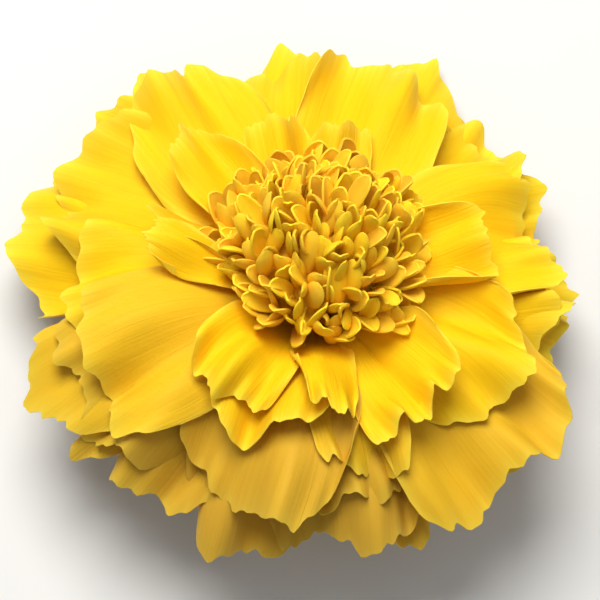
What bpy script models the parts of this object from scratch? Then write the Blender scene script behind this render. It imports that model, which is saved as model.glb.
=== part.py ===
"""A marigold flower head, picked with a short stub of its stalk, as it lies on a table.

The flower is modelled upright in its own frame, in millimetres: +Z up the stalk, z = 0 at the mouth of
the calyx. An empty then leans it until it rests on its stalk end and on two petal tips.
"""

import math

import bmesh
import bpy
from mathutils import Matrix, Vector

MM = 0.001
TURN = 2 * math.pi
GAP = 0.3  # between neighbouring pieces

# The petals lie on nested bowls. A bowl's level runs from 0, the lowest and outermost, to 1, round the crest.
ROOT_OUTER = (6.4, -0.6)  # radius and height where a petal of level 0 starts
ROOT_INNER = (3.2, 3.2)
SHOULDER_OUTER = (13.0, 5.5)  # the point that pulls a bowl's arch up
SHOULDER_INNER = (8.5, 8.0)
RIM_RADIUS = 31.0
RIM_RADIUS_INNER = 16.0
RIM_HEIGHT = -6.5
RIM_HEIGHT_INNER = 14.5
RIM_TAPER = 3.0  # the power by which the rim draws in towards the crest

PETAL_THICKNESS = 0.35
CLAW_WIDTH = 1.7  # the narrow foot of a petal
CLAW_END = 0.17  # where it starts to widen, as a share of the petal's length
BLADE_START = 0.78  # where it is at its full width
WIDEST_ANGLE = math.radians(20)  # on each side of its middle, so a petal leaves room for its neighbours
TIP_ROUNDING = 0.12  # how much shorter a petal is at its corners
PETAL_ROWS = 7
PETAL_COLUMNS = 4
# Gravity: the petals at the side away from the lean hang lower, the more so the further out.
SAG = 4.5
SAG_FROM = 12.0
SAG_TO = 31.0

# One row for each petal: azimuth in degrees, level, length as a share of its bowl, width of the blade.
OUTER_PETALS = (
    (2, 0.10, 0.95, 16),
    (25, 0.02, 1.00, 17),
    (50, 0.10, 1.00, 17),
    (76, 0.02, 1.02, 17),
    (101, 0.10, 1.02, 17),
    (125, 0.02, 1.05, 17),
    (147, 0.10, 1.09, 17),
    (171, 0.02, 1.10, 17),
    (195, 0.10, 1.02, 16),
    (219, 0.02, 0.98, 15),
    (242, 0.10, 0.95, 17),
    (265, 0.02, 0.98, 16),
    (288, 0.10, 0.95, 16),
    (310, 0.02, 0.95, 15),
    (334, 0.18, 0.96, 15),
)
MIDDLE_PETALS = (
    (12, 0.37, 0.96, 17),
    (36, 0.26, 1.03, 16),
    (58, 0.34, 1.04, 17),
    (80, 0.26, 1.13, 16),
    (102, 0.34, 1.09, 16),
    (126, 0.26, 1.12, 18),
    (151, 0.34, 1.13, 16),
    (176, 0.26, 1.15, 19),
    (206, 0.19, 1.06, 14),
    (217, 0.33, 1.00, 16),
    (241, 0.26, 0.93, 16),
    (269, 0.34, 0.94, 18),
    (299, 0.24, 0.88, 14),
    (332, 0.31, 1.06, 20),
)
UPPER_PETALS = (
    (351, 0.54, 0.93, 13),
    (12, 0.47, 0.97, 13),
    (32, 0.54, 1.02, 16),
    (57, 0.43, 1.07, 15),
    (82, 0.51, 1.08, 14),
    (109, 0.43, 1.10, 16),
    (137, 0.51, 1.05, 15),
    (163, 0.43, 1.09, 17),
    (196, 0.51, 0.97, 18),
    (221, 0.43, 0.96, 14),
    (261, 0.52, 0.88, 14),
    (291, 0.43, 0.90, 10),
    (250, 0.68, 0.80, 14),
    (281, 0.60, 0.82, 9),
    (313, 0.70, 0.88, 15),
)
INNER_PETALS = (
    (18, 0.80, 0.90, 9),
    (46, 0.86, 0.74, 6),
    (86, 0.84, 0.86, 6),
    (116, 0.76, 0.82, 8),
    (151, 0.86, 1.00, 8),
    (173, 0.78, 0.86, 5),
    (198, 0.72, 0.84, 5),
)

# The crest: florets packed in a dome inside the innermost petals.
CREST_ROOT = (2.6, 3.6)  # its flank, as radius and height, from root to edge
CREST_SHOULDER = (5.5, 6.5)
CREST_EDGE = (10.2, 8.8)
CREST_RISE = 10.5  # rise of the crest from its edge to its middle
CREST_SPREAD = math.radians(72)  # how far round a ball the crest's face reaches
CREST_CENTRE_SHARE = 0.38  # how far the middle bundle reaches towards the crest's edge
CREST_MIDDLE_SHARE = 0.14  # and the one floret in its middle
BUNDLE_GAP_SHARE = 0.05
BUNDLE_GAP_ANGLE = 0.07
CREST_BUNDLES = 5
BUNDLE_ROWS = 3
BUNDLE_COLUMNS = 6
CENTRE_SIDES = 8
CREST_STEPS = (0.0, 0.35, 0.7, 1.0)  # the rings up a bundle's side, from root to face
FLORET_INSET = 0.32
FLORET_HEIGHT = 2.0
FLORET_TAPER = 0.75

# The green parts and what they hold, as (radius, height) outlines.
STALK_RADIUS = 2.0
STALK_NECK_RADIUS = 2.7
STALK_SWELLING = 3.0  # how far down the stalk the thickening starts
STALK_CUT = -20.0
CALYX_FOOT = -14.0
CALYX_WALL = 0.7
CALYX_OUTLINE = ((3.6, CALYX_FOOT), (5.0, -11.5), (6.3, -7.5), (7.2, -3.5), (7.6, -1.1))
CALYX_TEETH = 10
CALYX_TOOTH_RISE = 0.9
CALYX_TOOTH_FLARE = 0.3
CALYX_RIB = 0.18  # how far each rib stands out
CALYX_SIDES = 40
STALK_SIDES = 24
# The receptacle, inside the calyx, that every petal and floret stands on.
RECEPTACLE_OUTLINE = ((2.9, -12.6), (5.0, -8.2), (6.0, -4.0), (6.5, -1.8), (5.9, -1.1), (2.9, 2.6), (1.0, 3.1))

# How it lies: it leans from upright towards an azimuth, then is lifted and shifted onto the table.
LEAN = 25.47
LEAN_TOWARDS = 95.0
PLACE = (3.279, 0.383, 18.915)


def between(a, b, share):
    return tuple(p + (q - p) * share for p, q in zip(a, b))


def smooth_step(x):
    x = min(1.0, max(0.0, x))
    return x * x * (3 - 2 * x)


def arch_point(root, shoulder, rim, along):
    """A point on the arch from root to rim that the shoulder pulls up."""
    a, b, c = (1 - along) ** 2, 2 * along * (1 - along), along**2
    return tuple(a * p + b * q + c * s for p, q, s in zip(root, shoulder, rim))


def bowl_point(level, along):
    """Radius and height on the bowl of that level, from its root at 0 to its rim at 1."""
    root = between(ROOT_OUTER, ROOT_INNER, level)
    shoulder = between(SHOULDER_OUTER, SHOULDER_INNER, level)
    rim = (
        RIM_RADIUS + (RIM_RADIUS_INNER - RIM_RADIUS) * level**RIM_TAPER,
        RIM_HEIGHT + (RIM_HEIGHT_INNER - RIM_HEIGHT) * level,
    )
    return arch_point(root, shoulder, rim, along)


def half_width(share, width):
    """Half the petal's width at a share of its length: a narrow claw that widens into a fan."""
    widening = smooth_step((share - CLAW_END) / (BLADE_START - CLAW_END))
    return (CLAW_WIDTH + (width - CLAW_WIDTH) * widening) / 2


def on_bowl(radius, angle, height):
    return Vector((radius * math.cos(angle), radius * math.sin(angle), height)) * MM


def sag_at(radius, angle):
    """How far a petal hangs down there."""
    reach = max(0.0, (radius - SAG_FROM) / (SAG_TO - SAG_FROM))
    return SAG * reach**2 * max(0.0, -math.sin(angle))


def plant_material(name, colour, roughness):
    made = bpy.data.materials.new(name)
    made.use_nodes = True
    shader = made.node_tree.nodes["Principled BSDF"]
    shader.inputs["Base Color"].default_value = (*colour, 1)
    shader.inputs["Roughness"].default_value = roughness
    return made


def add_node(name, bm, material, flower, azimuth=0.0):
    """A named piece from a bmesh in the flower's frame, turned about the stalk to its azimuth."""
    mesh = bpy.data.meshes.new(name)
    bmesh.ops.recalc_face_normals(bm, faces=bm.faces)
    bm.to_mesh(mesh)
    bm.free()
    mesh.shade_smooth()
    mesh.set_sharp_from_angle(angle=math.radians(50))
    mesh.materials.append(material)
    piece = bpy.data.objects.new(name, mesh)
    bpy.context.scene.collection.objects.link(piece)
    piece.parent = flower
    piece.rotation_euler.z = math.radians(azimuth)
    return piece


def ring_faces(bm, lower, upper, closed):
    """The quads between two rows of vertices."""
    count = len(lower) if closed else len(lower) - 1
    for i in range(count):
        j = (i + 1) % len(lower)
        bm.faces.new((lower[i], lower[j], upper[j], upper[i]))


def make_petal(name, level, length, width, azimuth, material, flower):
    """A fan on its bowl, pointing along +X before it is turned to its azimuth, with a Solidify for its thickness."""
    bm = bmesh.new()
    rows = []
    for row in range(PETAL_ROWS + 1):
        share = row / PETAL_ROWS
        line = []
        for column in range(PETAL_COLUMNS + 1):
            across = 2 * column / PETAL_COLUMNS - 1
            along = share * length * (1 - TIP_ROUNDING * share * across**2)
            radius, height = bowl_point(level, along)
            angle = min(half_width(share, width) / radius, WIDEST_ANGLE) * across
            height -= sag_at(radius, angle + math.radians(azimuth))
            line.append(bm.verts.new(on_bowl(radius, angle, height)))
        rows.append(line)
    for lower, upper in zip(rows, rows[1:]):
        ring_faces(bm, lower, upper, closed=False)
    petal = add_node(name, bm, material, flower, azimuth)
    skin = petal.modifiers.new("thickness", "SOLIDIFY")
    skin.thickness = PETAL_THICKNESS * MM
    skin.offset = 0
    skin.use_even_offset = True


def make_petals(material, flower):
    tiers = {
        "outer_petal": OUTER_PETALS,
        "middle_petal": MIDDLE_PETALS,
        "upper_petal": UPPER_PETALS,
        "inner_petal": INNER_PETALS,
    }
    for tier, petals in tiers.items():
        for number, (azimuth, level, length, width) in enumerate(petals, 1):
            make_petal(f"{tier}_{number:02d}", level, length, width, azimuth, material, flower)


def crest_point(share, angle, along):
    """A point in the crest: share of the way to its edge, angle, and how far from root to face."""
    radius, height = arch_point(CREST_ROOT, CREST_SHOULDER, CREST_EDGE, along)
    turn = share * CREST_SPREAD
    out = math.sin(turn) / math.sin(CREST_SPREAD)
    up = (math.cos(turn) - math.cos(CREST_SPREAD)) / (1 - math.cos(CREST_SPREAD))
    return on_bowl(radius * (share + (out - share) * along), angle, height + CREST_RISE * up * along)


def make_bundle(name, sheet, edge, material, flower):
    """Florets on one foot. sheet lists faces of (share, angle) corners, and edge the corners round the outside."""
    bm = bmesh.new()
    rings = []
    for along in CREST_STEPS:
        rings.append({corner: bm.verts.new(crest_point(*corner, along)) for corner in edge})
    for lower, upper in zip(rings, rings[1:]):
        ring_faces(bm, [lower[c] for c in edge], [upper[c] for c in edge], closed=True)
    tops = []
    for along, ring in ((CREST_STEPS[0], rings[0]), (CREST_STEPS[-1], rings[-1])):
        for corners in sheet:
            for corner in corners:
                if corner not in ring:
                    ring[corner] = bm.verts.new(crest_point(*corner, along))
            face = bm.faces.new([ring[corner] for corner in corners])
            if ring is rings[-1]:
                tops.append(face)
    bmesh.ops.recalc_face_normals(bm, faces=bm.faces)
    for face in tops:
        raise_floret(bm, face)
    add_node(name, bm, material, flower)


def raise_floret(bm, face):
    """One floret: the face drawn in, raised and tapered to its tip."""
    bmesh.ops.inset_individual(bm, faces=[face], thickness=FLORET_INSET * MM)
    top = bmesh.ops.extrude_discrete_faces(bm, faces=[face])["faces"][0]
    centre = top.calc_center_median()
    lift = top.normal * FLORET_HEIGHT * MM
    for vertex in top.verts:
        vertex.co = centre + (vertex.co - centre) * FLORET_TAPER + lift


def make_crest(material, flower):
    edge = [(CREST_CENTRE_SHARE, TURN * i / CENTRE_SIDES) for i in range(CENTRE_SIDES)]
    core = [(CREST_MIDDLE_SHARE, corner[1]) for corner in edge]
    sheet = [core]
    for i in range(CENTRE_SIDES):
        j = (i + 1) % CENTRE_SIDES
        sheet.append([core[i], edge[i], edge[j], core[j]])
    make_bundle("crest_florets_centre", sheet, edge, material, flower)
    inner_share = CREST_CENTRE_SHARE + BUNDLE_GAP_SHARE
    shares = [inner_share + (1 - inner_share) * i / BUNDLE_ROWS for i in range(BUNDLE_ROWS + 1)]
    sweep = TURN / CREST_BUNDLES - BUNDLE_GAP_ANGLE
    for bundle in range(CREST_BUNDLES):
        first = TURN * bundle / CREST_BUNDLES
        angles = [first + sweep * i / BUNDLE_COLUMNS for i in range(BUNDLE_COLUMNS + 1)]
        sheet = []
        for low, high in zip(shares, shares[1:]):
            for left, right in zip(angles, angles[1:]):
                sheet.append([(low, left), (high, left), (high, right), (low, right)])
        edge = [(share, angles[0]) for share in shares]
        edge += [(shares[-1], angle) for angle in angles[1:]]
        edge += [(share, angles[-1]) for share in reversed(shares[:-1])]
        edge += [(shares[0], angle) for angle in reversed(angles[1:-1])]
        make_bundle(f"crest_florets_{bundle + 1}", sheet, edge, material, flower)


def make_stalk(material, flower):
    """The cut stalk, thickened under the calyx, and the receptacle that it ends in, turned from one outline."""
    neck = CALYX_FOOT - GAP
    outline = (
        (STALK_RADIUS, STALK_CUT),
        (STALK_RADIUS, neck - STALK_SWELLING),
        (STALK_NECK_RADIUS, neck),
        *RECEPTACLE_OUTLINE,
    )
    bm = bmesh.new()
    angles = [TURN * i / STALK_SIDES for i in range(STALK_SIDES)]
    rings = [[bm.verts.new(on_bowl(radius, angle, height)) for angle in angles] for radius, height in outline]
    for lower, upper in zip(rings, rings[1:]):
        ring_faces(bm, lower, upper, closed=True)
    bm.faces.new(rings[0])
    bm.faces.new(rings[-1])
    add_node("stalk", bm, material, flower)


def make_calyx(material, flower):
    """A ribbed cup with a toothed mouth, open at its foot where the stalk comes through."""
    bm = bmesh.new()
    sides = [TURN * i / CALYX_SIDES for i in range(CALYX_SIDES)]
    top = CALYX_OUTLINE[-1]
    rings = []

    def add_ring(radius, height, rib, tooth):
        line = []
        for angle in sides:
            wave = (1 + math.cos(CALYX_TEETH * angle)) / 2
            out = radius + rib * wave + CALYX_TOOTH_FLARE * tooth * wave
            line.append(bm.verts.new(on_bowl(out, angle, height + CALYX_TOOTH_RISE * tooth * wave)))
        rings.append(line)

    add_ring(STALK_NECK_RADIUS + GAP, CALYX_FOOT, 0, 0)
    for radius, height in CALYX_OUTLINE[:-1]:
        add_ring(radius, height, CALYX_RIB, 0)
    add_ring(*top, CALYX_RIB, 1)
    add_ring(top[0] - CALYX_WALL, top[1], 0, 1)
    for radius, height in reversed(CALYX_OUTLINE[1:-1]):
        add_ring(radius - CALYX_WALL, height, 0, 0)
    add_ring(STALK_NECK_RADIUS + GAP, CALYX_FOOT + CALYX_WALL, 0, 0)
    for lower, upper in zip(rings, rings[1:] + rings[:1]):
        ring_faces(bm, lower, upper, closed=True)
    add_node("calyx", bm, material, flower)


def main():
    for old in list(bpy.data.objects):
        bpy.data.objects.remove(old)
    flower = bpy.data.objects.new("flower", None)
    bpy.context.scene.collection.objects.link(flower)
    make_petals(plant_material("petal_yellow", (0.96, 0.70, 0.01), 0.55), flower)
    make_crest(plant_material("floret_gold", (0.90, 0.52, 0.02), 0.55), flower)
    green = plant_material("leaf_green", (0.16, 0.30, 0.06), 0.5)
    make_calyx(green, flower)
    make_stalk(green, flower)
    towards = math.radians(LEAN_TOWARDS)
    axis = Vector((-math.sin(towards), math.cos(towards), 0))
    lean = Matrix.Rotation(math.radians(LEAN), 4, axis)
    flower.matrix_world = Matrix.Translation(Vector(PLACE) * MM) @ lean


main()
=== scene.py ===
import math

import bpy
import numpy as np
from mathutils import Matrix, Vector


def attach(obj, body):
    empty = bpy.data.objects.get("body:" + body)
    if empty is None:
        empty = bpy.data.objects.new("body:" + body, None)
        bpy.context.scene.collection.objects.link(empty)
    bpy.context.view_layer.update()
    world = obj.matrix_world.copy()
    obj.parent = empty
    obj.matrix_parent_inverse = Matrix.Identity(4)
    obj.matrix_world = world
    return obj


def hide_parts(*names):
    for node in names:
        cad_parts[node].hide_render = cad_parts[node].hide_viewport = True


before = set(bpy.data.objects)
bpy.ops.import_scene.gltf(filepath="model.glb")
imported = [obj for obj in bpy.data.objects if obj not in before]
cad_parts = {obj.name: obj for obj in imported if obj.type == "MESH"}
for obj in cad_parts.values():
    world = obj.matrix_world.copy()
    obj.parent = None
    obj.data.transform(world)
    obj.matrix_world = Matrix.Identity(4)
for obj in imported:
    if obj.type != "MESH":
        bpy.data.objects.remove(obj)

mm = 0.001
fullTurn = 2 * math.pi
goldenAngle = math.radians(137.508)
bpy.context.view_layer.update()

# How the picked flower lies: leaned from upright towards an azimuth, then set on the table, in mm.
restPose = {"lean": 25.47, "leanTowards": 95.0, "place": (3.279, 0.383, 18.915), "tableSoftness": 0.35}


def poseMatrix():
    towards = math.radians(restPose["leanTowards"])
    hinge = Vector((-math.sin(towards), math.cos(towards), 0))
    lean = Matrix.Rotation(math.radians(restPose["lean"]), 4, hinge)
    return Matrix.Translation(Vector(restPose["place"])) @ lean


poseInMm = np.array(poseMatrix())


# From the flower's own upright frame, in mm, to its place on the table, in metres.
def toTable(points):
    flat = points.reshape(-1, 3)
    placed = flat @ poseInMm[:3, :3].T + poseInMm[:3, 3]
    # what would go into the table lies flat on it
    softness = restPose["tableSoftness"]
    placed[:, 2] = softness * np.logaddexp(0, placed[:, 2] / softness)
    return placed * mm


def smoothStep(x):
    x = np.clip(x, 0, 1)
    return x * x * (3 - 2 * x)


def normalised(vectors):
    return vectors / np.maximum(np.linalg.norm(vectors, axis=-1, keepdims=True), 1e-9)


# A wave over an array, with its own number of radians and its own start.
def wave(place, count, start):
    return np.sin(place * count + start)


# Normals of a grid of points, rows first.
def gridNormals(grid):
    down = np.gradient(grid, axis=0)
    side = np.gradient(grid, axis=1)
    return normalised(np.cross(down, side))


# A closed thin leaf from a grid of middle points: both faces and the rim that joins them.
def leafMesh(grid, thickness, way):
    rows, columns = grid.shape[:2]
    offset = gridNormals(grid) * thickness[..., None] / 2
    points = np.concatenate([(grid + offset).reshape(-1, 3), (grid - offset).reshape(-1, 3)])
    index = np.arange(rows * columns).reshape(rows, columns)
    a, b = index[:-1, :-1].ravel(), index[1:, :-1].ravel()
    c, d = index[1:, 1:].ravel(), index[:-1, 1:].ravel()
    under = rows * columns
    upper = np.stack([a, b, c, d], 1)
    lower = np.stack([d, c, b, a], 1) + under
    loop = np.concatenate([index[0, :], index[1:, -1], index[-1, -2::-1], index[-2:0:-1, 0]])
    after = np.roll(loop, -1)
    rim = np.stack([loop, after, after + under, loop + under], 1)
    return points, np.concatenate([upper, lower, rim]), np.concatenate([way.reshape(-1, 3)] * 2)


# A skin round Z from rings of points, which narrow to a point at both ends or else join up in a loop.
def ringSkin(rings, way, pointed):
    count, sides = rings.shape[:2]
    index = np.arange(count * sides).reshape(count, sides)
    lower = index[:-1] if pointed else index
    upper = index[1:] if pointed else np.roll(index, -1, axis=0)
    corners = [lower, np.roll(lower, -1, axis=1), np.roll(upper, -1, axis=1), upper]
    return rings.reshape(-1, 3), np.stack(corners, -1).reshape(-1, 4), way.reshape(-1, 3)


def ring(radius, height, angle):
    return np.stack([radius * np.cos(angle), radius * np.sin(angle), height + 0 * angle], -1)


# Several meshes as one: their points, faces and the attribute that the finish reads.
def joined(meshes):
    points, faces, ways, first = [], [], [], 0
    for meshPoints, meshFaces, meshWay in meshes:
        points.append(meshPoints)
        faces.append(meshFaces + first)
        ways.append(meshWay)
        first += len(meshPoints)
    return np.concatenate(points), np.concatenate(faces), np.concatenate(ways)


sharpFrom = math.radians(55)  # rims of petals stay crisp, their faces are smooth


def addPiece(name, points, faces, way, finish, node):
    mesh = bpy.data.meshes.new(name)
    mesh.from_pydata(toTable(points).tolist(), [], faces.tolist())
    mesh.validate()
    ways = mesh.attributes.new("way", "FLOAT_VECTOR", "POINT")
    ways.data.foreach_set("vector", way.astype(np.float32).ravel())
    mesh.shade_smooth()
    mesh.set_sharp_from_angle(angle=sharpFrom)
    mesh.materials.append(finish)
    piece = bpy.data.objects.new(name, mesh)
    bpy.context.scene.collection.objects.link(piece)
    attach(piece, "root")
    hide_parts(node)


def newFinish(name):
    finish = bpy.data.materials.new(name)
    finish.use_nodes = True
    tree = finish.node_tree
    return finish, tree, tree.nodes["Principled BSDF"]


def addNode(tree, kind, settings=None, **inputs):
    made = tree.nodes.new(kind)
    for key, value in (settings or {}).items():
        setattr(made, key, value)
    for key, value in inputs.items():
        made.inputs[key].default_value = value
    return made


# A number or colour is set on the socket, anything else is linked to it.
def feed(tree, socket, value):
    if isinstance(value, (int, float, tuple)):
        socket.default_value = value
    else:
        tree.links.new(value, socket)


def arithmetic(tree, operation, first, second):
    node = addNode(tree, "ShaderNodeMath", {"operation": operation})
    feed(tree, node.inputs[0], first)
    feed(tree, node.inputs[1], second)
    return node.outputs[0]


def combine(tree, x, y, z):
    node = addNode(tree, "ShaderNodeCombineXYZ")
    for socket, value in zip(node.inputs, (x, y, z)):
        feed(tree, socket, value)
    return node.outputs[0]


def colourRamp(tree, factor, stops):
    ramp = addNode(tree, "ShaderNodeValToRGB")
    elements = ramp.color_ramp.elements
    while len(elements) < len(stops):
        elements.new(0.5)
    for element, (position, colour) in zip(elements, stops):
        element.position = position
        element.color = (*colour, 1)
    tree.links.new(factor, ramp.inputs[0])
    return ramp.outputs[0]


def grey(level):
    return (level, level, level)


def mixColours(tree, mode, factor, first, second):
    mix = addNode(tree, "ShaderNodeMix", {"data_type": "RGBA", "blend_type": mode})
    for index, value in ((0, factor), (6, first), (7, second)):
        feed(tree, mix.inputs[index], value)
    return mix.outputs[2]


# The attribute that every piece carries, as its three parts.
def wayParts(tree):
    way = addNode(tree, "ShaderNodeAttribute", {"attribute_name": "way"})
    split = addNode(tree, "ShaderNodeSeparateXYZ")
    tree.links.new(way.outputs["Vector"], split.inputs[0])
    return split.outputs


def mottling(tree, **settings):
    place = addNode(tree, "ShaderNodeTexCoord")
    mottle = addNode(tree, "ShaderNodeTexNoise", **settings)
    tree.links.new(place.outputs["Object"], mottle.inputs["Vector"])
    return mottle.outputs[0]


def addBump(tree, shader, height, strength, depth):
    bump = addNode(tree, "ShaderNodeBump", Strength=strength, Distance=depth)
    tree.links.new(height, bump.inputs["Height"])
    tree.links.new(bump.outputs[0], shader.inputs["Normal"])


def setSubsurface(shader, look):
    shader.inputs["Subsurface Weight"].default_value = look["subsurface"]
    shader.inputs["Subsurface Radius"].default_value = look["subsurfaceReach"]
    shader.inputs["Subsurface Scale"].default_value = look["subsurfaceScale"]


petalFinish = {
    "claw": (0.90, 0.50, 0.010),
    "clawFades": 0.4,  # share of the length where the claw's colour has gone
    "blade": (0.94, 0.565, 0.006),
    # lighter rim: partly the petal's own paler thin edge, partly a painted highlight along it
    "margin": (0.98, 0.70, 0.05),
    "marginCloseness": (14.0, 30.0),  # at the sides and at the tip: higher is a narrower line
    "shadeVein": (0.90, 0.47, 0.004),
    "veinShare": 0.35,
    "veinEdge": (0.42, 0.66),
    "veinCount": 20.0,
    "veinStretch": 1.6,
    "veinShift": 40.0,  # so that no two petals have the same veins
    "veinDepth": 0.0002,
    "veinStrength": 0.55,
    "mottle": (0.8, 0.78, 0.6),
    "mottleScale": 220.0,
    "mottleShare": 0.16,
    # painted shade: the darker ochre given to hanging petals, which face away from the light; on florets
    # only a random duller tone
    "dullAndShade": (0.50, 0.275, 0.04),
    "dullAndShadeShare": 0.85,
    "dullAndShadeUpTo": 0.8,
    "roughness": 0.6,
    "specular": 0.1,
    "subsurface": 0.25,
    "subsurfaceReach": (0.8, 0.55, 0.15),
    "subsurfaceScale": 0.0012,
}

floretFinish = dict(
    petalFinish,
    claw=(0.96, 0.52, 0.02),
    blade=(0.98, 0.67, 0.022),
    # lighter floret rim: partly its own paler edge, partly a painted highlight
    margin=(1.0, 0.74, 0.035),
    shadeVein=(0.96, 0.58, 0.02),
    veinCount=3.0,
    veinDepth=0.00006,
    # on florets the ochre is only a random duller tone, not shade
    dullAndShade=(0.92, 0.54, 0.04),
    subsurface=0.2,
    subsurfaceReach=(0.7, 0.5, 0.2),
    subsurfaceScale=0.001,
)


# "way" holds across from -1 to 1, along from 0 to 1, and the piece's own tone, where low mixes in a darker
# ochre; on hanging petals the tone also carries painted shade.
def makePetalFinish(name, look):
    finish, tree, shader = newFinish(name)
    across, along, tone = wayParts(tree)
    veinPlace = combine(
        tree,
        arithmetic(tree, "MULTIPLY", across, look["veinCount"]),
        arithmetic(tree, "MULTIPLY", along, look["veinStretch"]),
        arithmetic(tree, "MULTIPLY", tone, look["veinShift"]),
    )
    veins = addNode(tree, "ShaderNodeTexNoise", Scale=1.0, Detail=3.0, Roughness=0.6, Distortion=0.25)
    tree.links.new(veinPlace, veins.inputs["Vector"])
    mottle = mottling(tree, Scale=look["mottleScale"], Detail=2.0)
    body = colourRamp(tree, along, ((0.0, look["claw"]), (look["clawFades"], look["blade"])))
    # the lighter rim, partly a real paler edge and partly a painted highlight
    atSides, atTip = look["marginCloseness"]
    sideways = arithmetic(tree, "POWER", arithmetic(tree, "ABSOLUTE", across, 0.0), atSides)
    paleRimAndHighlight = arithmetic(tree, "MAXIMUM", sideways, arithmetic(tree, "POWER", along, atTip))
    body = mixColours(tree, "MIX", paleRimAndHighlight, body, (*look["margin"], 1))
    veinFrom, veinTo = look["veinEdge"]
    inVein = colourRamp(tree, veins.outputs[0], ((veinFrom, grey(0)), (veinTo, grey(1))))
    veinShare = arithmetic(tree, "MULTIPLY", inVein, look["veinShare"])
    veined = mixColours(tree, "MIX", veinShare, body, (*look["shadeVein"], 1))
    mottleShade = colourRamp(tree, mottle, ((0.3, look["mottle"]), (0.7, grey(1))))
    mottled = mixColours(tree, "MULTIPLY", look["mottleShare"], veined, mottleShade)
    # low tone mixes in the ochre: painted shade on hanging petals, random duller tone elsewhere
    dullnessAndShade = colourRamp(tree, tone, ((0.0, grey(look["dullAndShadeShare"])), (look["dullAndShadeUpTo"], grey(0))))
    toned = mixColours(tree, "MIX", dullnessAndShade, mottled, (*look["dullAndShade"], 1))
    tree.links.new(toned, shader.inputs["Base Color"])
    addBump(tree, shader, veins.outputs[0], look["veinStrength"], look["veinDepth"])
    shader.inputs["Roughness"].default_value = look["roughness"]
    shader.inputs["Specular IOR Level"].default_value = look["specular"]
    setSubsurface(shader, look)
    print("finish made:", name)
    return finish


# The bowls that the petals lie on, as in the frame, as radius and height in mm.
# Level 0 is the lowest and outermost bowl, 1 the innermost.
bowls = {
    "rootOuter": (6.4, -0.6),
    "rootInner": (3.2, 3.2),
    "shoulderOuter": (13.0, 5.5),
    "shoulderInner": (8.5, 8.0),
    "rimRadius": (31.0, 16.0),
    "rimHeight": (-6.5, 14.5),
    "rimTaper": 3.0,
}

# Gravity: the petals on the side away from the lean hang lower, the more so the further out.
sag = {"depth": 4.5, "from": 12.0, "to": 31.0}


def bowlPoint(level, along):
    def between(pair):
        return pair[0] + (pair[1] - pair[0]) * level

    root = [between(pair) for pair in zip(bowls["rootOuter"], bowls["rootInner"])]
    shoulder = [between(pair) for pair in zip(bowls["shoulderOuter"], bowls["shoulderInner"])]
    outer, inner = bowls["rimRadius"]
    rim = (outer + (inner - outer) * level ** bowls["rimTaper"], between(bowls["rimHeight"]))
    a, b, c = (1 - along) ** 2, 2 * along * (1 - along), along**2
    return tuple(a * p + b * q + c * s for p, q, s in zip(root, shoulder, rim))


def sagged(grid):
    radius = np.hypot(grid[..., 0], grid[..., 1])
    reach = np.clip((radius - sag["from"]) / (sag["to"] - sag["from"]), 0, None)
    down = sag["depth"] * reach**2 * np.clip(-grid[..., 1] / np.maximum(radius, 1), 0, 1)
    return np.stack([grid[..., 0], grid[..., 1], grid[..., 2] - down], axis=-1)


# Azimuth in degrees, level, length as a share of its bowl, width of the blade in mm.
petals = {
    "outer_petal": (
        (2, 0.10, 0.95, 16), (25, 0.02, 1.00, 17), (50, 0.10, 1.00, 17), (76, 0.02, 1.02, 17),
        (101, 0.10, 1.02, 17), (125, 0.02, 1.05, 17), (147, 0.10, 1.09, 17), (171, 0.02, 1.10, 17),
        (195, 0.10, 1.02, 16), (219, 0.02, 0.98, 15), (242, 0.10, 0.95, 17), (265, 0.02, 0.98, 16),
        (288, 0.10, 0.95, 16), (310, 0.02, 0.95, 15), (334, 0.18, 0.96, 15),
    ),
    "middle_petal": (
        (12, 0.37, 0.96, 17), (36, 0.26, 1.03, 16), (58, 0.34, 1.04, 17), (80, 0.26, 1.13, 16),
        (102, 0.34, 1.09, 16), (126, 0.26, 1.12, 18), (151, 0.34, 1.13, 16), (176, 0.26, 1.15, 19),
        (206, 0.19, 1.06, 14), (217, 0.33, 1.00, 16), (241, 0.26, 0.93, 16), (269, 0.34, 0.94, 18),
        (299, 0.24, 0.88, 14), (332, 0.31, 1.06, 20),
    ),
    "upper_petal": (
        (351, 0.54, 0.93, 13), (12, 0.47, 0.97, 13), (32, 0.54, 1.02, 16), (57, 0.43, 1.07, 15),
        (82, 0.51, 1.08, 14), (109, 0.43, 1.10, 16), (137, 0.51, 1.05, 15), (163, 0.43, 1.09, 17),
        (196, 0.51, 0.97, 18), (221, 0.43, 0.96, 14), (261, 0.52, 0.88, 14), (291, 0.43, 0.90, 10),
        (250, 0.68, 0.80, 14), (281, 0.60, 0.82, 9), (313, 0.70, 0.88, 15),
    ),
    "inner_petal": (
        (18, 0.80, 0.90, 9), (46, 0.86, 0.74, 6), (86, 0.84, 0.86, 6), (116, 0.76, 0.82, 8),
        (151, 0.86, 1.00, 8), (173, 0.78, 0.86, 5), (198, 0.72, 0.84, 5),
    ),
}

# How a petal grows where neither its tier nor the petal itself differs. Heights are in mm, turns in degrees.
plainHabit = {
    "broader": 1.35,  # width against the table above, so that neighbours overlap
    "stretch": 1,
    "corner": 0.20,  # how far the corners fall back, as a share of the length
    "lobe": 0.03,  # depth of the margin's broad lobes, as a share of the length
    "skew": 0,
    "raise": 0,
    "tilt": 0.7,
    "cup": 0,
    "nesting": 0.9,  # a petal over its neighbours lifts its margins so much, one under them drops its own
    "overFrom": 0,  # the level from which a petal lies over its neighbours
    "pleat": 0.5,
    "frill": 0.75,
    "tipCurl": 0,
    "tipSpread": 20,
    "curlStart": 0.6,
    "arch": 0,
    "crease": (0, 0, 1),  # depth, where across, how broad
    "lipRoll": (0, 0, 1),  # turn, where across, how broad
    # how strongly hanging petals are darkened by painted shade
    "hangingShade": 0.85,
    "seed": 0,
}
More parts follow.
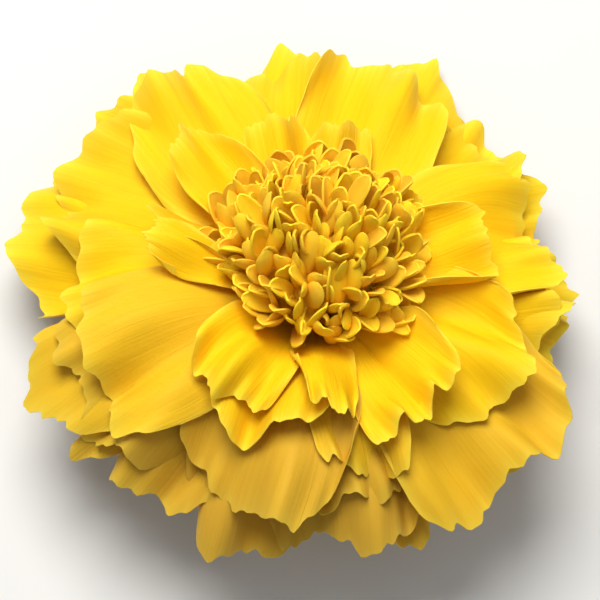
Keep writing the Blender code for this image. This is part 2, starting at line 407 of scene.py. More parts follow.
# where a whole tier differs
tierHabit = {
    "outer_petal": {"overFrom": 0.06, "tipCurl": -6, "tipSpread": 16, "lobe": 0.026, "tilt": 0.5},
    "middle_petal": {"overFrom": 0.30, "broader": 1.45, "tipCurl": -4},
    "upper_petal": {"overFrom": 0.48, "broader": 1.55, "tipSpread": 22},
    "inner_petal": {
        "broader": 1.3, "pleat": 0.4, "frill": 0.2, "tipCurl": 10, "tipSpread": 14, "tilt": 0.4,
        "nesting": 0,
    },
}
# where a single petal differs
petalHabit = {
    "outer_petal_04": {"skew": -16, "stretch": 1.07},
    "outer_petal_07": {"raise": -1.2},
    "outer_petal_08": {"frill": 0.4, "tipSpread": 8, "corner": 0.26},
    "outer_petal_09": {"frill": 0.4, "corner": 0.28, "raise": -0.8},
    "outer_petal_10": {"raise": -1.4},
    "outer_petal_11": {"raise": -1.6, "tipCurl": -12},
    "outer_petal_12": {"broader": 1.55, "lipRoll": (-40, -0.7, 0.5)},
    "outer_petal_13": {"broader": 1.5, "tipSpread": 14, "raise": -1.0, "lipRoll": (30, 0.8, 0.4)},
    "outer_petal_14": {"broader": 1.5, "raise": -1.2},
    "middle_petal_01": {"raise": -1.5},
    "middle_petal_02": {"skew": 4},
    "middle_petal_03": {"skew": 9, "raise": -0.8},
    "middle_petal_04": {"frill": 0.4, "corner": 0.28},
    "middle_petal_05": {"frill": 0.4, "raise": -1.8, "stretch": 1.05, "skew": -5},
    "middle_petal_07": {"raise": -1.6},
    "middle_petal_08": {
        "broader": 1.65, "stretch": 1.01, "corner": 0.26, "raise": -0.9, "frill": 0.45, "tipSpread": 8,
    },
    "middle_petal_09": {
        "broader": 1.6, "corner": 0.32, "raise": -0.5, "cup": 0.4, "frill": 0.3, "tipSpread": 6,
    },
    "middle_petal_10": {
        "raise": -1.4, "tipSpread": 12, "crease": (0.4, 0.3, 0.3), "lipRoll": (-25, -0.3, 0.6),
    },
    "middle_petal_11": {"raise": -1.0, "crease": (0.8, 0.5, 0.2), "lipRoll": (-80, 0.7, 0.4)},
    "middle_petal_12": {"tipSpread": 12, "crease": (-1.0, 0.7, 0.3)},
    "middle_petal_13": {"broader": 1.35, "raise": -0.6, "tipSpread": 12, "lipRoll": (50, -0.9, 0.5)},
    "middle_petal_14": {"broader": 1.6, "corner": 0.12, "tipSpread": 14, "lipRoll": (50, 0.7, 0.5)},
    "upper_petal_01": {
        "broader": 1.6, "skew": -7, "tilt": 1.6, "tipSpread": 12, "crease": (1.0, 0.2, 0.3),
    },
    "upper_petal_02": {"raise": -0.9},
    "upper_petal_04": {"raise": -1.2},
    "upper_petal_05": {"raise": 0.9},
    "upper_petal_06": {"frill": 0.4, "corner": 0.28, "skew": -5},
    "upper_petal_08": {"raise": 0.4},
    "upper_petal_09": {"broader": 1.7, "raise": -0.2, "cup": -2.6, "tipCurl": -14, "tipSpread": 12},
    "upper_petal_10": {
        "broader": 1.7, "raise": 1.8, "tilt": -1.8, "tipSpread": 8, "crease": (0.5, 0.2, 0.3),
    },
    "upper_petal_11": {
        # this petal gets little of the painted shade
        "broader": 1.4, "stretch": 0.90, "corner": 0.16, "tipCurl": 6, "tipSpread": 8, "hangingShade": 0.2,
        "seed": 3,
    },
    "upper_petal_12": {
        "broader": 1.3, "stretch": 0.94, "skew": 8, "raise": 1.0, "tipSpread": 26, "curlStart": 0.5,
    },
    "upper_petal_13": {
        "broader": 1.0, "stretch": 0.94, "corner": 0.10, "skew": -9, "raise": 1.8, "tilt": -1.8,
        "cup": -0.2, "tipCurl": -10, "tipSpread": 6, "arch": -24, "crease": (0.5, 0.6, 0.3),
        "lipRoll": (-50, 0.1, 0.7), "seed": 4,
    },
    "upper_petal_14": {
        "broader": 0.95, "corner": 0.45, "raise": 3.6, "cup": -2.2, "tipSpread": 4, "arch": -34,
    },
    "upper_petal_15": {
        "broader": 1.05, "corner": 0.14, "skew": -2, "cup": 1.2, "tipCurl": 4, "tipSpread": 8,
        "arch": -20, "crease": (1.8, 0.1, 0.18), "seed": 1,
    },
    "inner_petal_01": {"broader": 1.4, "corner": 0.4, "cup": 2.2, "tipCurl": 30, "curlStart": 0.45},
    "inner_petal_02": {"cup": 1.0, "tipCurl": 20},
    "inner_petal_05": {"corner": 0.3, "cup": 1.2, "tipCurl": 0},
    "inner_petal_06": {"corner": 0.45, "cup": -1.2, "tipCurl": 5},
    "inner_petal_07": {
        "broader": 1.1, "skew": -7, "raise": 1.2, "tilt": -0.4, "tipCurl": 18, "tipSpread": 24,
    },
}

petalShape = {
    "rows": 46,
    "columns": 60,
    "evenShare": 0.55,  # the rest of the columns' spacing is closer near the margins
    "clawWidth": 1.7,
    "clawEnd": 0.08,
    "bladeStart": 0.70,
    "tipNarrowing": 0.06,
    "widestAngle": math.radians(37),
    "cornerPower": 4.0,
    "thickness": 0.24,
    "rimThickness": 0.11,
    "rimReach": (10, 14),  # higher is a narrower thin rim: at the sides, at the tip
    "skewScatter": 5,
    "tones": (0.72, 1),
    "shadeLevels": (0.3, 0.6),  # painted shade: hanging petals are fully darkened up to the first, and not at all past the second
}
# Waves across a petal, each drawn between two numbers of radians.
ruffle = {
    "lobes": ((2.5, 4.5), (6, 9)),
    "narrowLobe": 0.6,  # its height against the broad one's, as in the next ones
    "scallops": ((15, 21), (30, 40)),
    "narrowScallop": 0.8,
    "scallopDepth": 0.0065,
    "curl": (1.4, 2.8),
    "pleats": (2.2, 3.8),
    "pleatsFrom": 0.3,  # share of the length
    "narrowPleat": 0.35,
    "swell": 0.35,
    "swellWaves": (4.2, 1.7),
    "frill": ((8, 11), (15, 20)),
    "frillFrom": 0.74,
    "narrowFrill": 0.6,
    "smallPetal": 14,  # blades narrower than this, in mm, are ruffled less
}
# The swell that neighbours share, so that they nest: height in mm, waves round the flower, turn with
# level, start, and how close it keeps to the margin.
sharedSwell = (
    (1.5, 5, 4.0, 0.6, 1.4),
    (1.5, 11, -6.0, 2.2, 2.6),
    (1.0, 19, 5.0, 4.0, 4.0),
)


# How far the petal reaches: corners that fall back, a few broad lobes, small uneven scallops.
def petalReach(draw, phase, across, share, habit):
    broad, narrow = ruffle["lobes"]
    lobes = wave(across, draw.uniform(*broad), phase[0])
    lobes = lobes + ruffle["narrowLobe"] * wave(across, draw.uniform(*narrow), phase[1])
    broad, narrow = ruffle["scallops"]
    scallops = wave(across, draw.uniform(*broad), phase[2]) * (1 + 0.6 * wave(across, 5, phase[11]))
    uneven = 1 + 0.5 * wave(across, 7, phase[12])
    scallops += ruffle["narrowScallop"] * wave(across, draw.uniform(*narrow), phase[3]) * uneven
    fallBack = 1 - np.sqrt(np.clip(1 - np.abs(across) ** petalShape["cornerPower"], 0, 1))
    reach = 1 - habit["corner"] * share**1.5 * fallBack
    return reach + share**3 * (habit["lobe"] * lobes + ruffle["scallopDepth"] * scallops)


# Follow the bowl, then bend away from it near the margin.
def bentAway(draw, phase, across, share, radius, height, habit):
    stepOut, stepUp = np.diff(radius, axis=0), np.diff(height, axis=0)
    step = np.hypot(stepOut, stepUp)
    heading = np.arctan2(stepUp, stepOut)
    across, share = across[1:], share[1:]
    curl = habit["tipCurl"] + habit["tipSpread"] * wave(across, draw.uniform(*ruffle["curl"]), phase[4])
    curlStart = habit["curlStart"]
    heading = heading + np.radians(curl) * smoothStep((share - curlStart) / (1 - curlStart)) ** 1.3
    heading = heading + np.radians(habit["arch"]) * (0.5 - share)
    rolled, where, breadth = habit["lipRoll"]
    lipShare = np.exp(-(((across - where) / breadth) ** 2)) * np.clip((share - 0.8) / 0.2, 0, 1)
    heading = heading + np.radians(rolled) * lipShare
    radius = np.concatenate([radius[:1], radius[:1] + np.cumsum(step * np.cos(heading), axis=0)])
    height = np.concatenate([height[:1], height[:1] + np.cumsum(step * np.sin(heading), axis=0)])
    return radius, height, np.concatenate([heading[:1], heading])


# Lengthwise pleats that grow towards the margin, a frill along it, then the petal's crease, tilt and cup.
def petalLift(draw, phase, across, share, level, width, habit):
    waves = draw.uniform(*ruffle["pleats"])
    pleats = wave(across, waves, phase[5])
    pleats = pleats + ruffle["narrowPleat"] * wave(across, waves * 2.3, phase[6] + share * 1.5)
    wavesAlong, wavesAcross = ruffle["swellWaves"]
    swell = wave(share, wavesAlong, phase[7]) * np.cos(across * wavesAcross + phase[8])
    broad, narrow = ruffle["frill"]
    frill = wave(across, draw.uniform(*broad), phase[9])
    frill = frill + ruffle["narrowFrill"] * wave(across, draw.uniform(*narrow), phase[10])
    pleatsFrom, frillFrom = ruffle["pleatsFrom"], ruffle["frillFrom"]
    lift = habit["pleat"] * pleats * smoothStep((share - pleatsFrom) / (1 - pleatsFrom))
    lift += ruffle["swell"] * swell * share
    lift += habit["frill"] * frill * smoothStep((share - frillFrom) / (1 - frillFrom)) ** 1.5
    lift *= min(1.0, width / ruffle["smallPetal"])
    creased, where, breadth = habit["crease"]
    lift -= creased * np.exp(-np.abs(across - where) / breadth) * smoothStep(share * 1.3)
    cup = habit["cup"] + (habit["nesting"] if level > habit["overFrom"] else -habit["nesting"])
    return lift + (habit["raise"] + habit["tilt"] * across + cup * across**2) * smoothStep(share * 1.2)


# The angle round the flower of every point of the petal.
def petalSpread(draw, across, share, radius, azimuth, width, habit):
    look = petalShape
    halfWidth = look["clawWidth"] / 2
    widening = smoothStep((share - look["clawEnd"]) / (look["bladeStart"] - look["clawEnd"]))
    broad = width * habit["broader"] / 2
    narrowing = 1 - look["tipNarrowing"] * smoothStep((share - 0.8) / 0.2)
    halfWidth = halfWidth + (broad - halfWidth) * widening * narrowing
    widest = look["widestAngle"]
    angle = widest * np.tanh(halfWidth / np.maximum(radius, 3) / widest) * across
    skew = habit["skew"] + draw.uniform(-look["skewScatter"], look["skewScatter"])
    return angle + math.radians(azimuth) + np.radians(skew) * share**1.5


def makePetal(number, azimuth, level, length, width, habit):
    look = petalShape
    draw = np.random.default_rng(1000 + number + 100 * habit["seed"])
    rows, columns = look["rows"], look["columns"]
    even = np.linspace(-1, 1, columns)
    spacing = look["evenShare"] * even + (1 - look["evenShare"]) * np.sin(even * math.pi / 2)
    across = np.ones(rows)[:, None] * spacing
    share = np.linspace(0, 1, rows)[:, None] * np.ones(columns)
    phase = draw.uniform(0, fullTurn, 14)
    along = share * length * habit["stretch"] * petalReach(draw, phase, across, share, habit)
    radius, height = bowlPoint(level, along)
    radius, height, heading = bentAway(draw, phase, across, share, radius, height, habit)
    lift = petalLift(draw, phase, across, share, level, width, habit)
    angle = petalSpread(draw, across, share, radius, azimuth, width, habit)
    for tall, count, turn, start, margin in sharedSwell:
        swell = tall * np.sin(count * angle + turn * level + start)
        lift = lift + swell * smoothStep((share - 0.1) / 0.9) ** margin
    radius = radius - np.sin(heading) * lift
    height = height + np.cos(heading) * lift
    grid = sagged(np.stack([radius * np.cos(angle), radius * np.sin(angle), height], axis=-1))
    sideReach, tipReach = look["rimReach"]
    inward = smoothStep(np.minimum((1 - np.abs(across)) * sideReach, (1 - share) * tipReach))
    thickness = look["rimThickness"] + (look["thickness"] - look["rimThickness"]) * inward
    # painted shade: the petals that hang, outermost ones most, are darkened to ochre as if turned away from
    # the light
    allShaded, notShaded = look["shadeLevels"]
    hanging = max(0.0, -math.sin(math.radians(azimuth))) ** 0.6
    hanging *= min(1.0, max(0.0, (notShaded - level) / (notShaded - allShaded)))
    tone = draw.uniform(*look["tones"]) * (1 - habit["hangingShade"] * hanging)
    way = np.stack([across, share, np.full_like(share, tone)], axis=-1)
    return leafMesh(grid, thickness, way)


def makePetals(finish):
    number = 0
    for tier, rowsOfTier in petals.items():
        for order, (azimuth, level, length, width) in enumerate(rowsOfTier, 1):
            number += 1
            node = f"{tier}_{order:02d}"
            habit = {**plainHabit, **tierHabit[tier], **petalHabit.get(node, {})}
            points, faces, way = makePetal(number, azimuth, level, length, width, habit)
            addPiece("ruffled_" + node, points, faces, way, finish, node)
        print("petals made:", tier, len(rowsOfTier))


# One fleshy, blunt, cupped lobe. Lengths are in mm, shares are along the lobe.
lobeShape = {
    "rows": 18,
    "columns": 13,
    "footWidth": 0.5,
    "widestAt": 0.62,
    "bluntness": 2.3,
    "thickness": 0.42,
    "lipThinning": 0.2,
}


# From its foot the lobe rises along up and tilts towards out. Its back faces out.
def makeLobe(foot, up, out, length, width, tilt, recurve, cup, tone):
    look = lobeShape
    rows, columns = look["rows"], look["columns"]
    reach = np.sin(np.linspace(0, math.pi / 2, rows)) ** 1.15
    share = reach[:, None] * np.ones(columns)
    across = np.ones(rows)[:, None] * np.linspace(-1, 1, columns)
    heading = np.radians(tilt + recurve * reach**1.5)
    step = np.diff(reach) * length
    rise = np.concatenate([[0], np.cumsum(np.cos(heading[1:]) * step)])
    lean = np.concatenate([[0], np.cumsum(np.sin(heading[1:]) * step)])
    side = np.cross(up, out)
    middle = foot + rise[:, None, None] * up + lean[:, None, None] * out
    back = -np.sin(heading)[:, None, None] * up + np.cos(heading)[:, None, None] * out
    widestAt = look["widestAt"]
    belly = np.sin(math.pi / 2 * np.clip(share / widestAt, 0, 1))
    belly = look["footWidth"] + (1 - look["footWidth"]) * belly
    pastBelly = np.clip((share - widestAt) / (1.005 - widestAt), 0, 1)
    half = width / 2 * belly * np.sqrt(np.clip(1 - pastBelly ** look["bluntness"], 0, 1))
    wrap = cup * across * (1.25 - 0.35 * share)
    grid = middle + (half * np.sin(wrap) / math.sin(cup))[..., None] * side
    grid = grid - (half * (1 - np.cos(wrap)) / math.sin(cup))[..., None] * back
    lip = smoothStep((np.abs(across) - 0.7) / 0.3) + smoothStep((share - 0.8) / 0.2)
    thickness = look["thickness"] - look["lipThinning"] * np.clip(lip, 0, 1)
    way = np.stack([across, share, np.full_like(share, tone)], axis=-1)
    return leafMesh(grid, thickness, way)


# The domed middle. Lengths are in mm, leans and turns in degrees, a pair is the least and the most.
crest = {
    "edge": (10.5, 8.0),  # radius and height of the dome's edge
    "rise": 11.5,
    "spread": math.radians(74),
    "centreShare": 0.40,
    "bundles": 5,
    "lobes": 245,
    "lobeLength": (4.4, 6.4),
    "lobeWidth": (1.6, 2.7),
    "leanInMiddle": 3,
    "leanAtEdge": 40,
    "leanScatter": 13,
    "turnScatter": 60,
    "footScatter": (0.012, 0.03),  # as a share of the dome, and in radians round it
    "bearingScatter": 0.25,
    "lobeTilt": (-4, 14),
    "lobeRecurve": (-42, 18),
    "lobeCup": (0.5, 1.15),
    "proud": (1.5, 3.5),
    "rimGrowth": 0.2,
    "rimFrom": 0.75,
    "clump": 0.8,  # how much the florets stand in clumps
    "clumpWaves": (1.7, 1.6),
    # a few wide-open florets at the edge: azimuth, radius, height, lean, lobe length and width
    "openFlorets": (
        (181, 11.0, 7.6, 34, 6.6, 4.4), (335, 10.6, 8.4, 26, 5.4, 3.4), (163, 10.8, 8.8, 22, 7.6, 3.6),
        (145, 10.4, 9.4, 18, 7.4, 3.2), (126, 10.2, 10.0, 14, 7.8, 3.4), (103, 10.0, 10.4, 10, 8.2, 3.4),
        (80, 10.2, 10.4, 11, 8.2, 3.6), (57, 10.2, 10.2, 13, 7.8, 3.4), (36, 10.4, 9.6, 18, 7.0, 3.2),
        (92, 7.6, 13.2, 3, 6.8, 3.0), (66, 8.0, 12.8, 5, 6.6, 3.0), (117, 7.8, 12.8, 5, 6.8, 3.0),
    ),
    "openLobes": 5,
    "openScatter": 0.2,
    "openDepth": 3.0,
    "openSpread": 0.32,
    "openSize": (0.8, 1.1),
    "openTilt": (6, 14),
    "openRecurve": (-40, 8),
    "openCup": (0.6, 0.9),
}
# The floret tubes under the lobes, packed so close that they read as one cushion.
bed = {
    "sides": 72,
    "rows": 30,
    "depth": 2.7,
    "bump": 0.18,
    "bumps": 24,
    "base": ((5.2, 6.4), (2.2, 4.2), (0.05, 3.9)),  # radius and height of the rings that close it
}
upright = np.array((0, 0, 1.0))


def domeFrame(share, angle):
    spread = crest["spread"]
    turn = share * spread
    radius = crest["edge"][0] * math.sin(turn) / math.sin(spread)
    height = crest["edge"][1]
    height += crest["rise"] * (math.cos(turn) - math.cos(spread)) / (1 - math.cos(spread))
    place = np.array((radius * math.cos(angle), radius * math.sin(angle), height))
    out = np.array((math.sin(turn) * math.cos(angle), math.sin(turn) * math.sin(angle), math.cos(turn)))
    return place, out


def makeBed():
    rings, ways = [], []
    sides = bed["sides"]
    for row in range(bed["rows"]):
        share = 0.01 + 0.99 * row / (bed["rows"] - 1)
        circle = []
        for side in range(sides):
            angle = fullTurn * side / sides
            place, up = domeFrame(share, angle)
            bump = bed["bump"] * math.sin(bed["bumps"] * angle) * math.sin(row * 2.2)
            circle.append(place - up * (bed["depth"] + bump))
        rings.append(circle)
        ways.append([(0, 0.12, 0.3)] * sides)
    for radius, height in bed["base"]:
        rings.append(ring(radius, height, np.linspace(0, fullTurn, sides, endpoint=False)))
        ways.append([(0, 0.05, 0.3)] * sides)
    return ringSkin(np.array(rings), np.array(ways), pointed=True)


def crestBundle(angle):
    return f"crest_florets_{int(angle % fullTurn / fullTurn * crest['bundles']) + 1}"


# One small floret's lobe, and the bundle that it belongs to.
def makeCrestLobe(draw, lobe):
    # even over the dome, which is steep near its edge
    turn = math.acos(1 - (lobe + 0.4) / crest["lobes"] * (1 - math.cos(crest["spread"])))
    share = turn / crest["spread"]
    angle = lobe * goldenAngle
    scatterUp, scatterRound = crest["footScatter"]
    place = domeFrame(share + draw.normal(0, scatterUp), angle + draw.normal(0, scatterRound))[0]
    bearing = angle + draw.normal(0, crest["bearingScatter"])
    radial = np.array((math.cos(bearing), math.sin(bearing), 0.0))
    lean = crest["leanInMiddle"] + crest["leanAtEdge"] * share**2 + draw.normal(0, crest["leanScatter"])
    lean = math.radians(lean)
    up = math.cos(lean) * upright + math.sin(lean) * radial
    out = math.cos(lean) * radial - math.sin(lean) * upright
    turned = math.radians(draw.normal(0, crest["turnScatter"]))
    out = math.cos(turned) * out + math.sin(turned) * np.cross(up, out)
    growth = 1 + crest["rimGrowth"] * smoothStep((share - crest["rimFrom"]) / (1 - crest["rimFrom"]))
    length = draw.uniform(*crest["lobeLength"]) * growth
    wavesX, wavesY = crest["clumpWaves"]
    clump = crest["clump"] * math.sin(place[0] * wavesX + 1) * math.sin(place[1] * wavesY + 2)
    foot = place - up * (length - draw.uniform(*crest["proud"]) - clump)
    made = makeLobe(
        foot,
        up,
        out,
        length,
        draw.uniform(*crest["lobeWidth"]) * growth,
        draw.uniform(*crest["lobeTilt"]),
        draw.uniform(*crest["lobeRecurve"]),
        draw.uniform(*crest["lobeCup"]),
        draw.uniform(0, 1),
    )
    return "crest_florets_centre" if share < crest["centreShare"] else crestBundle(angle), made


def makeOpenFloret(draw, azimuth, radius, height, lean, length, width):
    angle, lean = math.radians(azimuth), math.radians(lean)
    radial = np.array((math.cos(angle), math.sin(angle), 0.0))
    axis = math.sin(lean) * radial + math.cos(lean) * upright
    sideways = np.cross(axis, radial)
    sideways /= np.linalg.norm(sideways)
    tone = draw.uniform(0, 1)
    lobes = []
    for lobe in range(crest["openLobes"]):
        turn = fullTurn * lobe / crest["openLobes"] + draw.normal(0, crest["openScatter"])
        out = math.cos(turn) * np.cross(sideways, axis) + math.sin(turn) * sideways
        foot = radius * radial + np.array((0, 0, height)) - axis * crest["openDepth"]
        foot = foot + out * width * crest["openSpread"]
        size = draw.uniform(*crest["openSize"])
        tilt, recurve = draw.uniform(*crest["openTilt"]), draw.uniform(*crest["openRecurve"])
        cup = draw.uniform(*crest["openCup"])
        lobes.append(makeLobe(foot, axis, out, length * size, width * size, tilt, recurve, cup, tone))
    return lobes


def makeCrest(finish):
    bundles = {"crest_florets_centre": [makeBed()]}
    for bundle in range(crest["bundles"]):
        bundles[f"crest_florets_{bundle + 1}"] = []
    draw = np.random.default_rng(7)
    for lobe in range(crest["lobes"]):
        bundle, made = makeCrestLobe(draw, lobe)
        bundles[bundle].append(made)
    print("crest lobes made:", crest["lobes"])
    for floret in crest["openFlorets"]:
        bundles[crestBundle(math.radians(floret[0]))] += makeOpenFloret(draw, *floret)
    print("open florets made:", len(crest["openFlorets"]))
    for node, lobes in bundles.items():
        points, faces, way = joined(lobes)
        addPiece("cupped_" + node, points, faces, way, finish, node)


greenFinish = {
    "low": (0.16, 0.27, 0.05),
    "high": (0.24, 0.36, 0.07),
    "mottle": (0.6, 0.65, 0.5),
    "mottleScale": 400.0,
    "mottleShare": 0.5,
    "gland": (0.07, 0.10, 0.015),
    "glandShare": 0.7,
    "glandsRound": 40.0,
    "glandsUp": 6.0,
    "inside": (0.55, 0.60, 0.30),
    "bumpStrength": 0.4,
    "bumpDepth": 0.0001,
    "roughness": 0.45,
    "subsurface": 0.15,
    "subsurfaceReach": (0.4, 1.0, 0.2),
    "subsurfaceScale": 0.0008,
}


# "way" holds the share of the way round, the share upwards, and 1 where the green is cut or inside.
def makeGreenFinish():
    look = greenFinish
    finish, tree, shader = newFinish("leafGreen")
    around, upwards, inside = wayParts(tree)
    body = colourRamp(tree, upwards, ((0.0, look["low"]), (1.0, look["high"])))
    mottle = mottling(tree, Scale=look["mottleScale"], Detail=4.0, Roughness=0.6)
    mottleShade = colourRamp(tree, mottle, ((0.3, look["mottle"]), (0.7, grey(1.1))))
    mottled = mixColours(tree, "MULTIPLY", look["mottleShare"], body, mottleShade)
    glands = addNode(tree, "ShaderNodeTexVoronoi", {"feature": "F1"}, Scale=1.0)
    glandsAround = arithmetic(tree, "MULTIPLY", around, look["glandsRound"])
    glandsUpwards = arithmetic(tree, "MULTIPLY", upwards, look["glandsUp"])
    tree.links.new(combine(tree, glandsAround, glandsUpwards, 0.0), glands.inputs["Vector"])
    inGland = colourRamp(tree, glands.outputs["Distance"], ((0.10, grey(1)), (0.22, grey(0))))
    glandShare = arithmetic(tree, "MULTIPLY", inGland, look["glandShare"])
    spotted = mixColours(tree, "MIX", glandShare, mottled, (*look["gland"], 1))
    cut = mixColours(tree, "MIX", inside, spotted, (*look["inside"], 1))
    tree.links.new(cut, shader.inputs["Base Color"])
    addBump(tree, shader, mottle, look["bumpStrength"], look["bumpDepth"])
    shader.inputs["Roughness"].default_value = look["roughness"]
    setSubsurface(shader, look)
    print("finish made: leafGreen")
    return finish


# A smooth curve through a few outline points, as radius and height.
def smoothOutline(outline, count):
    outline = np.array(outline, float)
    span = np.concatenate([[0], np.cumsum(np.hypot(*np.diff(outline, axis=0).T))])
    at = np.linspace(0, span[-1], count)
    slope = np.gradient(outline, span, axis=0)
    which = np.clip(np.searchsorted(span, at, side="right") - 1, 0, len(span) - 2)
    gap = span[which + 1] - span[which]
    t = ((at - span[which]) / gap)[:, None]
    gap = gap[:, None]
    a, b = outline[which], outline[which + 1]
    p, q = slope[which] * gap, slope[which + 1] * gap
    start = a * (1 + 2 * t) * (1 - t) ** 2 + p * t * (1 - t) ** 2
    return start + b * t**2 * (3 - 2 * t) + q * t**2 * (t - 1)


# The cup of grown-together bracts, as radius and height in mm from its neck to its mouth.
calyx = {
    "outline": ((3.0, -14.0), (3.6, -13.9), (5.0, -11.5), (6.3, -7.5), (7.2, -3.5), (7.6, -1.1)),
    "rows": 60,
    "sides": 240,
    "wall": 0.7,
    "neckHole": 3.0,
    "teeth": 10,
    "toothRise": 1.0,
    "toothFlare": 0.35,
    "toothStart": 0.8,
    "rib": 0.22,
    "grooveWidth": 0.004,
}


def makeCalyx(finish):
    look = calyx
    angle = np.linspace(0, fullTurn, look["sides"], endpoint=False)
    toothWave = (1 + np.cos(look["teeth"] * angle)) / 2
    fromGroove = np.mod(look["teeth"] * angle / fullTurn + 0.5, 1) - 0.5
    groove = np.exp(-(fromGroove**2) / look["grooveWidth"])
    ribs = look["rib"] * (0.5 * toothWave - 0.35 * groove)
    outline = smoothOutline(look["outline"], look["rows"])
    bottom = look["outline"][0][1]
    rings, ways = [], []

    def toothShare(grow):
        return max(0, (grow - look["toothStart"]) / (1 - look["toothStart"])) ** 2

    def addRing(radius, height, ribShare, tooth, inside):
        out = radius + ribs * ribShare + look["toothFlare"] * tooth * toothWave
        rings.append(ring(out, height + look["toothRise"] * tooth * toothWave**0.7, angle))
        upwards = 0 * angle + (height - bottom) / -bottom
        ways.append(np.stack([angle / fullTurn, upwards, 0 * angle + inside], -1))

    for row, (radius, height) in enumerate(outline):
        grow = row / (len(outline) - 1)
        addRing(radius, height, min(1, grow * 5), toothShare(grow), 0)
    # the inner wall goes back down and stops above the neck
    for row, (radius, height) in enumerate(outline[:3:-1]):
        grow = 1 - row / (len(outline) - 4)
        radius = max(radius - look["wall"] * min(1, 0.5 + row), look["neckHole"])
        addRing(radius, height, 0, toothShare(grow), 1)
    points, faces, way = ringSkin(np.array(rings), np.array(ways), pointed=False)
    addPiece("ribbed_calyx", points, faces, way, finish, "calyx")
    print("calyx made:", look["teeth"], "teeth")


# The hollow stalk, cut short, and the receptacle that it ends in, as radius and height in mm.
stalk = {
    "outline": (
        (0.02, -17.5), (0.9, -17.6), (0.9, -19.88), (1.02, -20.0), (1.85, -20.0), (2.0, -19.85),
        (2.0, -19.0), (2.0, -17.3), (2.25, -15.8), (2.7, -14.3), (2.9, -12.6), (5.0, -8.2),
        (6.0, -4.0), (6.5, -1.8), (5.9, -1.1), (2.9, 2.6), (0.05, 3.1),
    ),
    "step": 0.25,
    "sides": 160,
    "ridges": 9,
    "ridge": 0.09,
    "ridgesEnd": -15,
    "cutRadius": 1.8,
    "colourLength": 24,
}


def makeStalk(finish):
    look = stalk
    angle = np.linspace(0, fullTurn, look["sides"], endpoint=False)
    dense = []
    for (r0, z0), (r1, z1) in zip(look["outline"], look["outline"][1:]):
        steps = max(1, int(math.hypot(r1 - r0, z1 - z0) / look["step"]))
        dense += [(r0 + (r1 - r0) * i / steps, z0 + (z1 - z0) * i / steps) for i in range(steps)]
    dense.append(look["outline"][-1])
    bottom = min(height for radius, height in look["outline"])
    rings, ways = [], []
    for radius, height in dense:
        ridge = look["ridge"] * np.cos(look["ridges"] * angle) * smoothStep((radius - 1.5) / 0.4)
        out = radius + ridge * (1 - smoothStep((height - look["ridgesEnd"]) / 2))
        rings.append(ring(out, height, angle))
        upwards = 0 * angle + (height - bottom) / look["colourLength"]
        ways.append(np.stack([angle / fullTurn, upwards, 0 * angle + (radius < look["cutRadius"])], -1))
    points, faces, way = ringSkin(np.array(rings), np.array(ways), pointed=True)
    addPiece("cut_stalk", points, faces, way, finish, "stalk")
    print("stalk made:", look["ridges"], "ridges")


studio = {
    "floorHalfSide": 3.0,  # metres
    "floorColour": (0.80, 0.79, 0.77),
    "floorShade": 0.98,
    "floorGrain": 30.0,
    "floorRoughness": 0.8,
    "sky": (0.90, 0.95, 1.0),
    "skyStrength": 0.25,
    # position in mm, width in mm, power in W, colour
    "lights": (
        ((-120, 230, 490), 320, 3.6, (1.0, 0.99, 0.95)),
        ((60, 40, 620), 420, 0.3, (1.0, 1.0, 1.0)),
    ),
    "lightAim": (0, 0, 20),
}


def makeFloor():
    side = studio["floorHalfSide"]
    mesh = bpy.data.meshes.new("floor")
    corners = [(-side, -side, 0), (side, -side, 0), (side, side, 0), (-side, side, 0)]
    mesh.from_pydata(corners, [], [(0, 1, 2, 3)])
    floor = bpy.data.objects.new("floor", mesh)
    bpy.context.scene.collection.objects.link(floor)
    finish, tree, shader = newFinish("paleFloor")
    grain = mottling(tree, Scale=studio["floorGrain"], Detail=3.0)
    pale = studio["floorColour"]
    shaded = tuple(channel * studio["floorShade"] for channel in pale)
    tree.links.new(colourRamp(tree, grain, ((0.3, shaded), (0.7, pale))), shader.inputs["Base Color"])
    shader.inputs["Roughness"].default_value = studio["floorRoughness"]
    mesh.materials.append(finish)


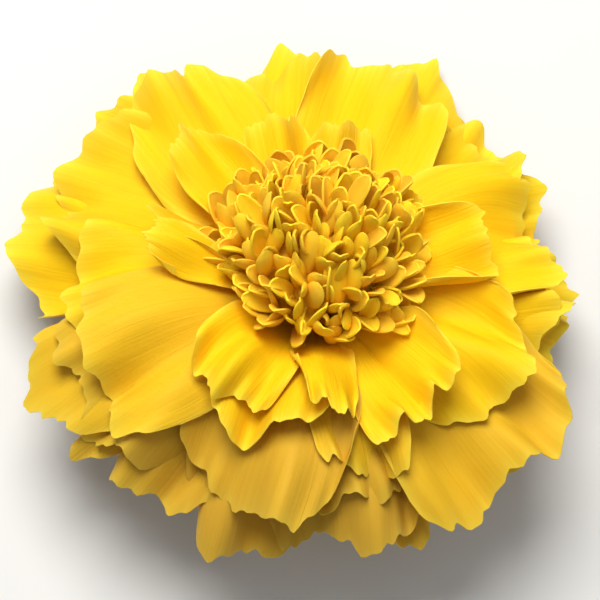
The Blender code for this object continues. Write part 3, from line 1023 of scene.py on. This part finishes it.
def makeStudio():
    makeFloor()
    for number, (place, width, power, colour) in enumerate(studio["lights"]):
        lamp = bpy.data.lights.new(f"softbox{number}", "AREA")
        lamp.shape = "DISK"
        lamp.size = width * mm
        lamp.energy = power
        lamp.color = colour
        holder = bpy.data.objects.new(f"softbox{number}", lamp)
        bpy.context.scene.collection.objects.link(holder)
        holder.location = Vector(place) * mm
        aim = Vector(studio["lightAim"]) - Vector(place)
        holder.rotation_euler = aim.to_track_quat("-Z", "Y").to_euler()
    world = bpy.data.worlds.new("sky")
    world.use_nodes = True
    backdrop = world.node_tree.nodes["Background"]
    backdrop.inputs[0].default_value = (*studio["sky"], 1)
    backdrop.inputs[1].default_value = studio["skyStrength"]
    bpy.context.scene.world = world
    bpy.context.scene.view_settings.view_transform = "Standard"
    print("studio made:", len(studio["lights"]), "lights")


# The camera stands in the flower's own frame: raised from its side, and rolled about its line of sight.
viewpoint = {
    "elevation": 58,
    "roll": 11,
    "distance": 350,  # mm
    "fieldWidth": 70.3,  # mm at the flower
    "aim": (-1.2, 0.0),
    "nearest": 0.01,  # metres
}


def makeCamera():
    elevation = math.radians(viewpoint["elevation"])
    back = Vector((0, -math.cos(elevation), math.sin(elevation)))
    roll = Matrix.Rotation(math.radians(viewpoint["roll"]), 4, "Z")
    turn = (-back).to_track_quat("-Z", "Y").to_matrix().to_4x4() @ roll
    aim = turn.to_3x3() @ Vector((*viewpoint["aim"], 0))
    placed = poseMatrix() @ Matrix.Translation(back * viewpoint["distance"] + aim) @ turn
    camera = bpy.data.cameras.new("camera")
    camera.lens = camera.sensor_width * viewpoint["distance"] / viewpoint["fieldWidth"]
    camera.clip_start = viewpoint["nearest"]
    holder = bpy.data.objects.new("camera", camera)
    bpy.context.scene.collection.objects.link(holder)
    holder.matrix_world = Matrix.Translation(placed.to_translation() * mm) @ placed.to_3x3().to_4x4()
    bpy.context.scene.camera = holder
    print("camera set")


makeCamera()
makeStudio()
makePetals(makePetalFinish("petalYellow", petalFinish))
makeCrest(makePetalFinish("floretGold", floretFinish))
green = makeGreenFinish()
makeCalyx(green)
makeStalk(green)
